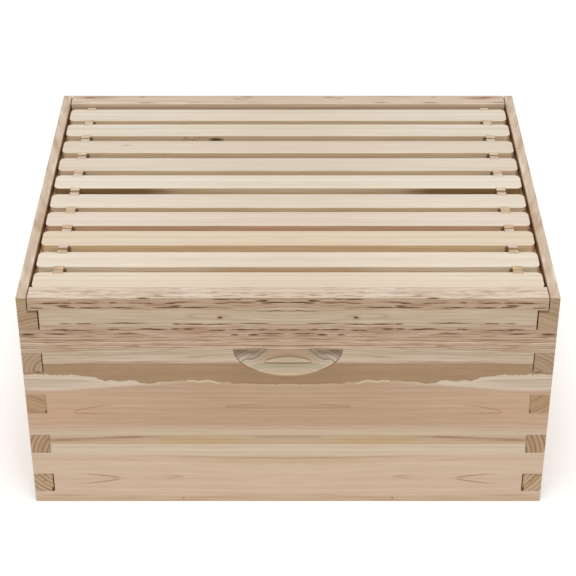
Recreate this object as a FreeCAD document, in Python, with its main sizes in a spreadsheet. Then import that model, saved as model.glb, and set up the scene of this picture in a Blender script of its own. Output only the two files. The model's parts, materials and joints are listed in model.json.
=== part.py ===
import FreeCAD, Part
import os
import Sketcher

from FreeCAD import Placement, Rotation, Vector

# Langstroth hive box, deep size for ten frames: four finger-jointed boards, each glued up
# from three staves, and ten self-spacing frames that hang by their lugs in two rabbets.
#
# Row frame: origin under the middle of the box, +X along the frames, +Y to the back, +Z up.
# All sizes are in millimetres.

SHEET = "Dimensions"
FINGER_COUNT = 5
WIRE_HOLE_COUNT = 4
FRAME_COUNT = 10
SMALL = 0.01

# Alias, value, meaning.
DIMENSIONS = (
    ("box_length", 504.8, "outside, along X"),
    ("box_width", 412.75, "outside, along Y"),
    ("box_height", 244.5, "outside, along Z"),
    ("board_thickness", 19.05, "all four boards"),
    ("finger_first", 13.0, "underside of the lowest finger of an end board"),
    ("finger_height", 22.2, "finger of an end board"),
    ("finger_pitch", 48.75, "from one finger to the next"),
    ("rabbet_wall", 9.525, "what the rabbet leaves of an end board"),
    ("long_glue_low", 72.6, "lower glue line of the front and back boards"),
    ("long_glue_high", 169.3, "upper glue line of the front and back boards"),
    ("end_glue_low", 97.2, "lower glue line of the end boards"),
    ("end_glue_high", 194.7, "upper glue line of the end boards"),
    ("grip_ledge", 185.9, "height of the flat ledge over a handhold"),
    ("grip_half_width", 52.0, "half the handhold's width at the ledge"),
    ("grip_drop", 31.0, "from the ledge to the lowest point of the handhold"),
    ("grip_cut", 12.0, "how deep the handhold goes under the ledge"),
    ("bar_length", 482.6, "top bar with its lugs"),
    ("bar_width", 27.0, "top bar"),
    ("bar_thickness", 19.05, "top bar between its lugs"),
    ("lug_thickness", 9.525, "lug of the top bar"),
    ("lug_corner", 6.0, "radius on the lug's upright corners"),
    ("bar_notch", 2.4, "how far an end bar is let into each side of the top bar"),
    ("frame_span", 447.6, "over the outer faces of the two end bars"),
    ("frame_height", 231.8, "top of the top bar to the frame's underside"),
    ("end_bar_thickness", 9.525, "end bar, along X"),
    ("shoulder_width", 34.9, "spacing shoulder of an end bar"),
    ("shoulder_height", 100.0, "down to where the end bar starts to narrow"),
    ("taper_height", 14.0, "height over which it narrows"),
    ("end_bar_width", 28.6, "end bar below its shoulders"),
    ("bottom_bar_width", 19.05, "bottom bar"),
    ("bottom_bar_thickness", 9.525, "bottom bar"),
    ("groove_width", 3.2, "foundation groove in the top and bottom bars"),
    ("top_groove_cut", 6.4, "groove in the underside of the top bar"),
    ("bottom_groove_cut", 3.2, "groove in the upper side of the bottom bar"),
    ("wire_hole_radius", 1.6, "hole for a frame wire"),
    ("wire_hole_first", 52.0, "from the top of the frame to the first wire hole"),
    ("wire_hole_pitch", 45.0, "from one wire hole to the next"),
    ("first_frame_y", -168.2, "middle of the frame nearest the front"),
    ("frame_step_02", 36.2, "from the frame before it, towards the back"),
    ("frame_step_03", 39.4, "from the frame before it"),
    ("frame_step_04", 36.8, "from the frame before it"),
    ("frame_step_05", 35.4, "from the frame before it"),
    ("frame_step_06", 39.4, "from the frame before it"),
    ("frame_step_07", 36.8, "from the frame before it"),
    ("frame_step_08", 38.5, "from the frame before it"),
    ("frame_step_09", 38.1, "from the frame before it"),
    ("frame_step_10", 35.4, "from the frame before it"),
)

doc = FreeCAD.newDocument("hive_box")
nodes = []


def fill_sheet():
    sheet = doc.addObject("Spreadsheet::Sheet", SHEET)
    for row, (alias, value, meaning) in enumerate(DIMENSIONS, start=1):
        sheet.set("A%d" % row, alias)
        sheet.set("B%d" % row, str(value))
        sheet.set("C%d" % row, meaning)
        sheet.setAlias("B%d" % row, alias)
    doc.recompute()
    return sheet


sheet = fill_sheet()


def cells(expression):
    """The expression with every alias written as a cell of the sheet."""
    for alias, _value, _meaning in DIMENSIONS:
        expression = expression.replace("<%s>" % alias, "%s.%s" % (SHEET, alias))
    return expression


def bind(item, **expressions):
    """Bind properties to the sheet. Two underscores in a name stand for a dot."""
    for name, expression in expressions.items():
        item.setExpression(name.replace("__", "."), cells(expression))


def place(item, turn=0, x="0", y="0", z="0"):
    """Turn about Z in degrees, then move to a place given by expressions."""
    item.Placement = Placement(Vector(), Rotation(Vector(0, 0, 1), turn))
    bind(item, Placement__Base__x=x, Placement__Base__y=y, Placement__Base__z=z)


def value_of(expression):
    """The present value of an expression of the sheet's aliases."""
    return float(sheet.evalExpression(cells(expression)))


def keep(item, label):
    """Name a finished sub-part; its label is its file name."""
    item.Label = label
    nodes.append(item)


# ---------------------------------------------------------------- sketches and features


def origin_plane(body, role):
    for feature in body.Origin.OriginFeatures:
        if feature.Role == role:
            return feature
    raise RuntimeError("no origin plane " + role)


def add_sketch(body, name, role):
    sketch = body.newObject("Sketcher::SketchObject", name)
    sketch.AttachmentSupport = [(origin_plane(body, role), "")]
    sketch.MapMode = "FlatFace"
    return sketch


def dimension(sketch, expression, kind, *place):
    """One sketch dimension, bound to an expression."""
    number = sketch.addConstraint(Sketcher.Constraint(kind, *place, value_of(expression)))
    sketch.setExpression("Constraints[%d]" % number, cells(expression))


def draw_polygon(sketch, corners):
    """A closed outline. Each corner is a pair of expressions, across and up."""
    points = [Vector(value_of(across), value_of(up), 0) for across, up in corners]
    first = sketch.GeometryCount
    for start, end in zip(points, points[1:] + points[:1]):
        sketch.addGeometry(Part.LineSegment(start, end), False)
    for index, (across, up) in enumerate(corners):
        line = first + index
        following = first + (index + 1) % len(corners)
        sketch.addConstraint(Sketcher.Constraint("Coincident", line, 2, following, 1))
        dimension(sketch, across, "DistanceX", line, 1)
        dimension(sketch, up, "DistanceY", line, 1)


def draw_circle(sketch, across, up, radius):
    centre = Vector(value_of(across), value_of(up), 0)
    circle = Part.Circle(centre, Vector(0, 0, 1), value_of(radius))
    number = sketch.addGeometry(circle, False)
    dimension(sketch, across, "DistanceX", number, 3)
    dimension(sketch, up, "DistanceY", number, 3)
    dimension(sketch, radius, "Radius", number)


def rectangle(left, right, low, high):
    return ((left, low), (right, low), (right, high), (left, high))


def pad(body, sketch, length):
    """A pad of the given thickness, half on each side of the sketch."""
    feature = body.newObject("PartDesign::Pad", sketch.Name + "_pad")
    feature.Profile = sketch
    feature.Midplane = True
    bind(feature, Length=length)
    return feature


def cut_through(body, sketch):
    """A pocket through everything, both ways from the sketch, that must take material away."""
    doc.recompute()
    volume_before = body.Shape.Volume
    feature = body.newObject("PartDesign::Pocket", sketch.Name + "_pocket")
    feature.Profile = sketch
    feature.Type = "ThroughAll"
    feature.Midplane = True
    doc.recompute()
    if body.Shape.Volume > volume_before - SMALL:
        raise RuntimeError(feature.Name + " cut nothing")
    return feature




def repeat_up(body, feature, count, pitch):
    """Repeat a feature along the body's Z axis."""
    axis = [item for item in body.Origin.OriginFeatures if item.Role == "Z_Axis"][0]
    pattern = body.newObject("PartDesign::LinearPattern", feature.Name + "_row")
    pattern.Originals = [feature]
    pattern.Direction = (axis, [""])
    pattern.Occurrences = count
    bind(pattern, Length="%d * %s" % (count - 1, pitch))
    body.Tip = pattern
    return pattern


# ---------------------------------------------------------------- boards
#
# A board is made lying along X with its outer face on Y = 0 and its inner face at
# Y = board_thickness, then its staves are cut from it and placed on their side of the box.

RABBET_FLOOR = "(<finger_first> + %d * <finger_pitch> + <finger_height>)" % (FINGER_COUNT - 1)


def board_blank(name, half_length):
    """A plain board: a body whose sketch plane lies in the middle of its thickness."""
    body = doc.addObject("PartDesign::Body", name)
    sketch = add_sketch(body, name + "_face", "XZ_Plane")
    draw_polygon(sketch, rectangle("-" + half_length, half_length, "0", "<box_height>"))
    pad(body, sketch, "<board_thickness>")
    place(body, y="<board_thickness> / 2")
    return body


def cut_both_ends(body, name, half_length, inset, low, high):
    """A notch of one depth in both ends of the board."""
    sketch = add_sketch(body, name, "XZ_Plane")
    inner = "(%s - %s)" % (half_length, inset)
    draw_polygon(sketch, rectangle("-" + half_length, "-" + inner, low, high))
    draw_polygon(sketch, rectangle(inner, half_length, low, high))
    return cut_through(body, sketch)


def long_board():
    """Front and back board: slots for the end boards' fingers and for their thin walls."""
    half = "<box_length> / 2"
    body = board_blank("long_board", half)
    cut_both_ends(body, "long_top_slot", half, "<rabbet_wall>", RABBET_FLOOR, "<box_height>")
    slot = cut_both_ends(
        body, "long_slot", half, "<board_thickness>",
        "<finger_first>", "<finger_first> + <finger_height>",
    )
    repeat_up(body, slot, FINGER_COUNT, "<finger_pitch>")
    return body


def end_board():
    """Left and right board: slots for the long boards' fingers, and the frame rabbet."""
    half = "<box_width> / 2"
    body = board_blank("end_board", half)
    cut_both_ends(body, "end_foot_slot", half, "<board_thickness>", "0", "<finger_first>")
    slot = cut_both_ends(
        body, "end_slot", half, "<board_thickness>",
        "<finger_first> + <finger_height>", "<finger_first> + <finger_pitch>",
    )
    repeat_up(body, slot, FINGER_COUNT - 1, "<finger_pitch>")
    sketch = add_sketch(body, "rabbet", "YZ_Plane")
    draw_polygon(sketch, rectangle(
        "<rabbet_wall> - <board_thickness> / 2", "<board_thickness> / 2",
        RABBET_FLOOR, "<box_height>",
    ))
    cut_through(body, sketch)
    return body


def handhold():
    """The scoop's cutter: the lower half of an ellipsoid whose flat top makes the ledge."""
    radius = "((<grip_half_width>^2 + <grip_cut>^2) / (2 * <grip_cut>))"
    scoop = doc.addObject("Part::Ellipsoid", "handhold")
    scoop.Angle1 = -90
    scoop.Angle2 = 0
    bind(
        scoop,
        Radius1="%s * <grip_drop> / <grip_half_width>" % radius,
        Radius2=radius,
        Radius3=radius,
    )
    place(scoop, y="<grip_cut> - %s" % radius, z="<grip_ledge>")
    return scoop


def stave_slab(name, half_length, low, high):
    """A box that holds what one stave takes of its board."""
    slab = doc.addObject("Part::Box", name)
    bind(
        slab,
        Length="2 * %s" % half_length,
        Width="<board_thickness>",
        Height="%s - %s" % (high, low),
    )
    place(slab, x="-" + half_length, z=low)
    return slab


def split_board(body, scoop, half_length, glue_low, glue_high, sides):
    """Carve the handhold, cut the board into three staves and place them on each side."""
    carved = doc.addObject("Part::Cut", body.Name + "_carved")
    carved.Base = body
    carved.Tool = scoop
    levels = ("0", glue_low, glue_high, "<box_height>")
    for index, part in enumerate(("bottom", "middle", "top")):
        slab = stave_slab(
            "%s_%s_slab" % (body.Name, part), half_length, levels[index], levels[index + 1]
        )
        for side, turn, x, y in sides:
            stave = doc.addObject("Part::Common", "%s_%s" % (side, part))
            stave.Base = carved
            stave.Tool = slab
            place(stave, turn, x=x, y=y)
            keep(stave, "%s_board_%s" % (side, part))


def make_boards():
    scoop = handhold()
    split_board(
        long_board(), scoop, "<box_length> / 2", "<long_glue_low>", "<long_glue_high>",
        (
            ("front", 0, "0", "-<box_width> / 2"),
            ("back", 180, "0", "<box_width> / 2"),
        ),
    )
    split_board(
        end_board(), scoop, "<box_width> / 2", "<end_glue_low>", "<end_glue_high>",
        (
            ("left", -90, "-<box_length> / 2", "0"),
            ("right", 90, "<box_length> / 2", "0"),
        ),
    )


# ---------------------------------------------------------------- frames
#
# The pieces of a frame are made with Z = 0 at the top of the top bar, then hung so that the
# lugs lie on the rabbet floor.


def hang(item, frame, x="0"):
    steps = ["<frame_step_%02d>" % number for number in range(2, frame + 1)]
    place(
        item,
        x=x,
        y=" + ".join(["<first_frame_y>"] + steps),
        z="%s + <lug_thickness>" % RABBET_FLOOR,
    )


def top_bar(frame):
    label = "frame_%02d_top_bar" % frame
    body = doc.addObject("PartDesign::Body", label)
    end, span = "<bar_length> / 2", "<frame_span> / 2"
    lug, deep = "-<lug_thickness>", "-<bar_thickness>"
    side = add_sketch(body, label + "_side", "XZ_Plane")
    draw_polygon(side, (
        ("-" + end, "0"), (end, "0"), (end, lug), (span, lug),
        (span, deep), ("-" + span, deep), ("-" + span, lug), ("-" + end, lug),
    ))
    pad(body, side, "<bar_width>")

    notches = add_sketch(body, label + "_notches", "XY_Plane")
    inner = "<frame_span> / 2 - <end_bar_thickness>"
    edge, seat = "<bar_width> / 2", "(<bar_width> / 2 - <bar_notch>)"
    draw_polygon(notches, rectangle(inner, span, seat, edge))
    draw_polygon(notches, rectangle(inner, span, "-" + edge, "-" + seat))
    draw_polygon(notches, rectangle("-" + span, "-(%s)" % inner, seat, edge))
    draw_polygon(notches, rectangle("-" + span, "-(%s)" % inner, "-" + edge, "-" + seat))
    cut_through(body, notches)

    groove = add_sketch(body, label + "_groove", "YZ_Plane")
    half = "<groove_width> / 2"
    draw_polygon(groove, rectangle("-" + half, half, deep, deep + " + <top_groove_cut>"))
    groove_cut = cut_through(body, groove)

    corners = [
        "Edge%d" % number
        for number, edge in enumerate(groove_cut.Shape.Edges, start=1)
        if is_lug_corner(edge)
    ]
    rounding = body.newObject("PartDesign::Fillet", label + "_corners")
    rounding.Base = (groove_cut, corners)
    bind(rounding, Radius="<lug_corner>")
    body.Tip = rounding
    hang(body, frame)
    keep(body, label)


def is_lug_corner(edge):
    """Whether an edge of the top bar stands upright at one of its two ends."""
    start, end = [vertex.Point for vertex in edge.Vertexes]
    tip = value_of("<bar_length> / 2")
    at_tip = abs(abs(start.x) - tip) < SMALL and abs(abs(end.x) - tip) < SMALL
    return at_tip and abs(start.y - end.y) < SMALL


def end_bar(frame, side, sign):
    label = "frame_%02d_end_bar_%s" % (frame, side)
    body = doc.addObject("PartDesign::Body", label)
    shoulder, narrow = "<shoulder_width> / 2", "<end_bar_width> / 2"
    seat, seat_floor = "(<bar_width> / 2 - <bar_notch>)", "-<bar_thickness>"
    foot, foot_roof = "<bottom_bar_width> / 2", "<bottom_bar_thickness> - <frame_height>"
    bend, bend_end = "-<shoulder_height>", "-(<shoulder_height> + <taper_height>)"
    bottom = "-<frame_height>"
    half = (
        (seat, seat_floor), (seat, "0"), (shoulder, "0"), (shoulder, bend),
        (narrow, bend_end), (narrow, bottom), (foot, bottom), (foot, foot_roof),
    )
    other_half = tuple(("-" + across, up) for across, up in reversed(half))
    face = add_sketch(body, label + "_face", "YZ_Plane")
    draw_polygon(face, half + other_half)
    pad(body, face, "<end_bar_thickness>")

    hole = add_sketch(body, label + "_hole", "YZ_Plane")
    lowest = "-(<wire_hole_first> + %d * <wire_hole_pitch>)" % (WIRE_HOLE_COUNT - 1)
    draw_circle(hole, "0", lowest, "<wire_hole_radius>")
    drilled = cut_through(body, hole)
    repeat_up(body, drilled, WIRE_HOLE_COUNT, "<wire_hole_pitch>")
    hang(body, frame, x="%s(<frame_span> - <end_bar_thickness>) / 2" % sign)
    keep(body, label)


def bottom_bar(frame):
    label = "frame_%02d_bottom_bar" % frame
    body = doc.addObject("PartDesign::Body", label)
    half, groove_half = "<bottom_bar_width> / 2", "<groove_width> / 2"
    low, high = "-<frame_height>", "(<bottom_bar_thickness> - <frame_height>)"
    floor = high + " - <bottom_groove_cut>"
    section = add_sketch(body, label + "_section", "YZ_Plane")
    draw_polygon(section, (
        ("-" + half, low), (half, low), (half, high), (groove_half, high),
        (groove_half, floor), ("-" + groove_half, floor), ("-" + groove_half, high),
        ("-" + half, high),
    ))
    pad(body, section, "<frame_span>")
    hang(body, frame)
    keep(body, label)


def make_frames():
    for frame in range(1, FRAME_COUNT + 1):
        top_bar(frame)
        end_bar(frame, "left", "-")
        end_bar(frame, "right", "")
        bottom_bar(frame)


# ---------------------------------------------------------------- checks and files


def check_all():
    doc.recompute()
    for item in doc.Objects:
        if "Invalid" in item.State or "Error" in item.State:
            raise RuntimeError("%s failed: %s" % (item.Name, item.State))
    for item in nodes:
        shape = item.Shape
        if shape.isNull() or not shape.isValid() or len(shape.Solids) != 1:
            raise RuntimeError(item.Label + " is not one valid solid")


def write_all():
    os.makedirs("parts", exist_ok=True)
    for item in nodes:
        item.Shape.exportStep("parts/%s.step" % item.Label)
    print("%d sub-parts written" % len(nodes))


make_boards()
make_frames()
check_all()
write_all()
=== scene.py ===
import json
import math
from contextlib import contextmanager
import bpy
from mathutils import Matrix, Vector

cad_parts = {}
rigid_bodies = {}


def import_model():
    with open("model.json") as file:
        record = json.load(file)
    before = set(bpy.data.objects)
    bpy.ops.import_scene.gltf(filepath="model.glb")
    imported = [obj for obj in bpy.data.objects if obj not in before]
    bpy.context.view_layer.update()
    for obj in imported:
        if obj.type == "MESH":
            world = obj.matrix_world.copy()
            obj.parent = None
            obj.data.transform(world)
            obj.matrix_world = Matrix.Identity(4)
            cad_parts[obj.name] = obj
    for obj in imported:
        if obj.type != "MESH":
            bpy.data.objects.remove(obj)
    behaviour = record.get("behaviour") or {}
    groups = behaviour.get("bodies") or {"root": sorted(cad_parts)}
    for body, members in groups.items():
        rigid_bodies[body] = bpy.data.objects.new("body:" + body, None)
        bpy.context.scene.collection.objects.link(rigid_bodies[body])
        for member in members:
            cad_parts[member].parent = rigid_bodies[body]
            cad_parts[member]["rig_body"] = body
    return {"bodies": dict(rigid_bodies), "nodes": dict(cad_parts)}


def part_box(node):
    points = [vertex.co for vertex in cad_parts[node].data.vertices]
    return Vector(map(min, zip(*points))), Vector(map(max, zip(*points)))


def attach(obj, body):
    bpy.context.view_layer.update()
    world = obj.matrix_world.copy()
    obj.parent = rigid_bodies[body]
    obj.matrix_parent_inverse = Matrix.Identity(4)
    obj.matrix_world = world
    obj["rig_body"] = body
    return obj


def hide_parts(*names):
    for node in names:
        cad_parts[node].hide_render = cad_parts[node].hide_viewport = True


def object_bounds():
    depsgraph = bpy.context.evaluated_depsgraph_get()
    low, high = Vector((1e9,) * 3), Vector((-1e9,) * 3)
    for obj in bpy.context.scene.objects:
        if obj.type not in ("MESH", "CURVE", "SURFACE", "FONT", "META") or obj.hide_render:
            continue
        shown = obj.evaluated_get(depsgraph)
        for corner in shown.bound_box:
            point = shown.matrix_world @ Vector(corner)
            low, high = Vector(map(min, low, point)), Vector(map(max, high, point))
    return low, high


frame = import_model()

from types import SimpleNamespace

import bmesh
import bpy
from mathutils import Matrix

# A Langstroth hive box with its ten frames, in bare planed wood. Lengths are in metres, and
# in millimetres where a name or a comment says so. +X is along the frames, +Y to the back and
# +Z up; the front board faces -Y.

cad_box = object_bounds()
LOW, HIGH = cad_box
HALF_LENGTH, HALF_WIDTH, RIM = HIGH.x, HIGH.y, HIGH.z
SIDES = ("front", "back", "left", "right")
LEVELS = ("bottom", "middle", "top")
FRAMES = sorted(body for body in frame["bodies"] if body.startswith("frame_"))

FRONT_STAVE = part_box("front_board_top")
THICKNESS = FRONT_STAVE[1].y - FRONT_STAVE[0].y
FINGER_INNER = HALF_LENGTH - THICKNESS
THIN_WALL_INNER = HALF_LENGTH - THICKNESS / 2
BAR_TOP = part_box("frame_01_top_bar")[1].z
END_BAR_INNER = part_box("frame_01_end_bar_right")[0].x
RABBET_FLOOR = 0.2302    # height of the ledges that the frames hang on

# each handhold is the lower half of an ellipsoid, under a flat ledge
SCOOP_HALF_WIDTH = 0.052
SCOOP_DROP = 0.031
SCOOP_CUT = 0.012        # depth into the board
SCOOP_LEDGE = 0.1859     # height of the ledge
SCOOP_SPARE = 0.00015    # the smooth scoop is this much larger than the faceted one it replaces
SCOOP_SIDES = 200        # flat sides in a full turn of the cutter's round shape
SCOOP_TURNS = {"front": 0, "right": 90, "back": 180, "left": 270}
SCOOPED = {
    "front": ("top", "middle"),
    "back": ("top", "middle"),
    "left": ("middle",),
    "right": ("middle",),
}

EDGE_BREAK = 0.0008      # rounding on the outer edges of the box
JOINT_BREAK = 0.35       # shares of it on the edges in a corner joint
FRAME_BREAK = 0.6        # and on the edges of a frame
CLOSE = 0.00002          # points nearer than this are in the same place
DOUBLED = 0.000005       # and points nearer than this are merged
ALONG_AXIS = 0.9999      # part of a face's normal that is along an axis, for it to stay flat
NEARLY_FLAT = math.radians(0.5)
SMOOTH_BELOW = math.radians(20)
SHARP_OVER = math.radians(45)

MM = 0.001

# ---------------- colours

# red, green and blue light on a face, where 1 shows a white as white
TOP_LIGHT = (1.15, 1.13, 1.12)
FRONT_LIGHT = (0.93, 0.92, 0.91)
GAP_LIGHT = (0.47, 0.41, 0.38)
PALEST = 0.95            # no colour throws back more of the light than this


def linear(value):
    """The light, from 0 to 1, of a 0-255 screen value."""
    value /= 255
    return value / 12.92 if value <= 0.04045 else ((value + 0.055) / 1.055) ** 2.4


def pigment(red, green, blue, light=FRONT_LIGHT):
    """The surface colour that shows as this 0-255 screen colour in this light."""
    return shaded([linear(value) / lit for value, lit in zip((red, green, blue), light)], 1)


def shown(stops):
    """Stops of (millimetres, screen colour) as stops of (millimetres, surface colour)."""
    return [(at, pigment(*colour)) for at, colour in stops]


def shaded(colour, share):
    """A colour made lighter or darker by a share, but never as light as a perfect white."""
    share = min(share, PALEST / max(colour[:3]))
    return tuple(value * share for value in colour[:3]) + (1.0,)


# ---------------- node graphs


class Graph:
    """A short way to write shader nodes, where each value is a number or a node's output."""

    def __init__(self, name):
        self.material = bpy.data.materials.new(name)
        self.material.use_nodes = True
        self.tree = self.material.node_tree
        self.shader = self.tree.nodes["Principled BSDF"]

    def feed(self, node, inputs):
        """Gives values to a node's inputs, by their names or by their order."""
        for key, value in inputs.items():
            if isinstance(value, bpy.types.NodeSocket):
                self.tree.links.new(value, node.inputs[key])
            else:
                node.inputs[key].default_value = value

    def node(self, kind, inputs, **settings):
        """A new node of this kind, with these inputs and settings."""
        made = self.tree.nodes.new(kind)
        for key, value in settings.items():
            setattr(made, key, value)
        self.feed(made, inputs)
        return made

    def math(self, operation, *values, clamp=False):
        inputs = dict(enumerate(values))
        return self.node("ShaderNodeMath", inputs, operation=operation, use_clamp=clamp).outputs[0]

    def add(self, first, *others):
        for value in others:
            first = self.math("ADD", first, value)
        return first

    def sub(self, first, second):
        return self.math("SUBTRACT", first, second)

    def mul(self, first, *others):
        for value in others:
            first = self.math("MULTIPLY", first, value)
        return first

    def size(self, value):
        """A value without its sign."""
        return self.math("ABSOLUTE", value)

    def clamp(self, value):
        """A value held between 0 and 1."""
        return self.math("ADD", value, 0.0, clamp=True)

    def axes(self, vector):
        return tuple(self.node("ShaderNodeSeparateXYZ", {0: vector}).outputs)

    def vector(self, x, y, z):
        return self.node("ShaderNodeCombineXYZ", {0: x, 1: y, 2: z}).outputs[0]

    def noise(self, x, y, z, detail=1.0, rough=0.5):
        """Noise from -1 to 1 about, at a point given in noise cells."""
        inputs = {"Vector": self.vector(x, y, z), "Scale": 1.0, "Detail": detail, "Roughness": rough}
        made = self.node("ShaderNodeTexNoise", inputs)
        return self.mul(self.sub(made.outputs["Fac"], 0.5), 3.0)

    def grain(self, along, across, long, fine, seed, detail=1.0, rough=0.5):
        """Noise in streaks, long cells to the metre along them and fine cells across them."""
        return self.noise(self.mul(along, long), self.mul(across, fine), seed, detail, rough)

    def step(self, value, low, high):
        """0 below low, 1 above high, smooth between; it falls where low is over high."""
        falling = float(low > high)
        inputs = {"Value": value, "From Min": min(low, high), "From Max": max(low, high),
                  "To Min": falling, "To Max": 1.0 - falling}
        made = self.node("ShaderNodeMapRange", inputs, interpolation_type="SMOOTHSTEP")
        return made.outputs["Result"]

    def between(self, value, low, high, soft):
        """1 from low to high, falling to 0 over soft outside them."""
        return self.mul(self.step(value, low - soft, low), self.step(value, high + soft, high))

    def mix(self, share, first, second, blend="MIX"):
        inputs = {0: share, 6: first, 7: second}
        return self.node("ShaderNodeMix", inputs, data_type="RGBA", blend_type=blend).outputs[2]

    def cover(self, colour, other, *shares):
        """A colour covered with another one, as far as the product of the shares."""
        return self.mix(self.mul(*shares), colour, other)

    def tones(self, colour, pattern, dark, pale, *shares):
        """A colour with a dark one where a pattern is high, and with a pale one where it is low.

        dark and pale are each a colour, and the values where it begins and where it is full.
        """
        for other, begin, full in (dark, pale):
            colour = self.cover(colour, other, self.step(pattern, begin, full), *shares)
        return colour

    def tint(self, colour, glaze):
        """A colour multiplied by another one."""
        return self.mix(1.0, colour, glaze, blend="MULTIPLY")

    def bands(self, value, stops):
        """A colour that follows a value in metres through stops of (millimetres, colour)."""
        low, high = stops[0][0], stops[-1][0]
        share = self.math("DIVIDE", self.sub(value, low * MM), (high - low) * MM)
        made = self.node("ShaderNodeValToRGB", {0: share})
        ramp = made.color_ramp.elements
        while len(ramp) < len(stops):
            ramp.new(0.5)
        for element, (at, colour) in zip(ramp, stops):
            element.position = (at - low) / (high - low)
            element.color = colour
        return made.outputs["Color"]

    def profile(self, value, points, handle="AUTO"):
        """A height that follows a value, both in metres, through points in millimetres."""
        span = points[-1][0]
        low = min(height for _, height in points)
        rise = max(height for _, height in points) - low
        made = self.node("ShaderNodeFloatCurve", {"Value": self.math("DIVIDE", value, span * MM)})
        curve = made.mapping.curves[0]
        for at, height in points[1:-1]:
            curve.points.new(at / span, (height - low) / rise)
        for point, (at, height) in zip(curve.points, points):
            point.location = (at / span, (height - low) / rise)
            point.handle_type = handle
        made.mapping.update()
        return self.add(self.mul(made.outputs[0], rise * MM), low * MM)

    def spots(self, x, z, marks):
        """Distance to the nearest of some oval marks, 1 at its outline.

        A mark is (x, z, half length, half thickness), in millimetres.
        """
        point = self.vector(x, z, 0.0)
        nearest = 9.0    # well outside any mark
        for at_x, at_z, long, thick in marks:
            moved = self.node("ShaderNodeMapping", {
                "Vector": point, "Location": (-at_x / long, -at_z / thick, 0.0),
                "Scale": (1 / (long * MM), 1 / (thick * MM), 1.0)})
            reach = self.node("ShaderNodeVectorMath", {0: moved.outputs[0]}, operation="LENGTH")
            nearest = self.math("MINIMUM", nearest, reach.outputs["Value"])
        return nearest


# ---------------- wood

# In what follows, g is a piece's graph and at is the point being coloured: at.out is its distance
# from the box's middle where the wood is mirrored, and at.up, at.upright and at.sideways say
# whether its face looks up, doesn't, or looks along Y. g.step and g.between compare a place in
# metres, or a noise from -1 to 1, with their numbers. Those of g.grain are its cells to the
# metre along and across the grain, and one that picks a pattern among many. g.cover takes the
# colour so far, the one to put on it, where it shows, and how strongly.

GLOSS = 0.3              # how much the planed surface mirrors
BUMP_HEIGHT = 0.0004
BUMP_STRENGTH = 0.4
STREAK_CLEAR = (1.06, 1.07, 1.08, 1.0)    # what the fine streaks leave of the colour between them


def round_heart(side, height, lean=0.0, rise=0.0):
    """Growth layers round a heart line at these places across the grain, which change along it."""
    def layer(g, along, width, depth):
        off = g.sub(width, g.add(side, g.mul(along, lean)))
        over = g.sub(depth, g.add(height, g.mul(along, rise)))
        return g.math("SQRT", g.add(g.mul(off, off), g.mul(over, over)))
    return layer


def slanting(face_y, slope):
    """Flat growth layers across the board at face_y, numbered by their height at its face."""
    def layer(g, along, y, z):
        return g.sub(z, g.mul(g.size(g.sub(y, face_y)), slope))
    return layer


def end_grain(g, colour, dark, end_shade, point, thin, late):
    """The colour of a face that cuts across the grain, darker and with rings and pores."""
    pores = g.noise(*(g.mul(value, 1300.0) for value in point))
    lines = g.add(g.mul(thin, 0.9), g.mul(pores, 0.3), g.mul(late, 2.0))
    share = g.math("MULTIPLY", lines, 0.6, clamp=True)
    colour = g.tint(colour, shaded((1, 1, 1), end_shade))
    return g.cover(colour, shaded(dark, end_shade * 0.62), share)


def planed(g, colour, rough, fibres, thin):
    """Gives a material its colour, its gloss and the fine relief of its fibres."""
    height = g.add(g.mul(fibres, 0.5), g.mul(thin, 0.3))
    bump = g.node("ShaderNodeBump", {
        "Strength": BUMP_STRENGTH, "Distance": BUMP_HEIGHT, "Height": height})
    g.feed(g.shader, {
        "Base Color": colour, "Roughness": g.add(rough, g.mul(fibres, 0.06)),
        "Specular IOR Level": GLOSS, "Normal": bump.outputs[0]})


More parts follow.
